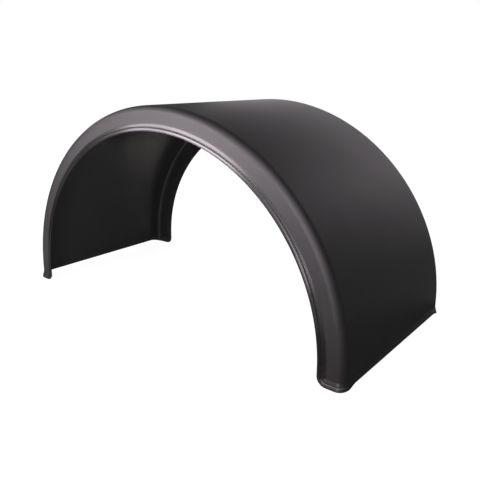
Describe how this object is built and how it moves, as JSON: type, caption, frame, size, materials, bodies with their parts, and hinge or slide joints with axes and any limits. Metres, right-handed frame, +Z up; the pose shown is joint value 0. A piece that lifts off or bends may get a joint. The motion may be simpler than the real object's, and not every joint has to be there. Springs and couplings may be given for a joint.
{
  "type": "trailer mudguard",
  "caption": "Wide one-piece moulded plastic mudguard arched over a pair of trailer wheels, with side flanges and a flared, grooved rim all round.",
  "frame": {"origin": "on the ground, at the middle of the arch's footprint, level with the bottom ends of its four flange legs", "axes": "+X along the arch from foot to foot, +Y across it from flange to flange, +Z up to the crown"},
  "size_m": [1.312, 0.6452, 0.6703],
  "materials": {
    "moulded_plastic": "satin black, fine moulded grain"
  },
  "bodies": {
    "root": {"mudguard": "moulded_plastic"}
  },
  "joints": []
}
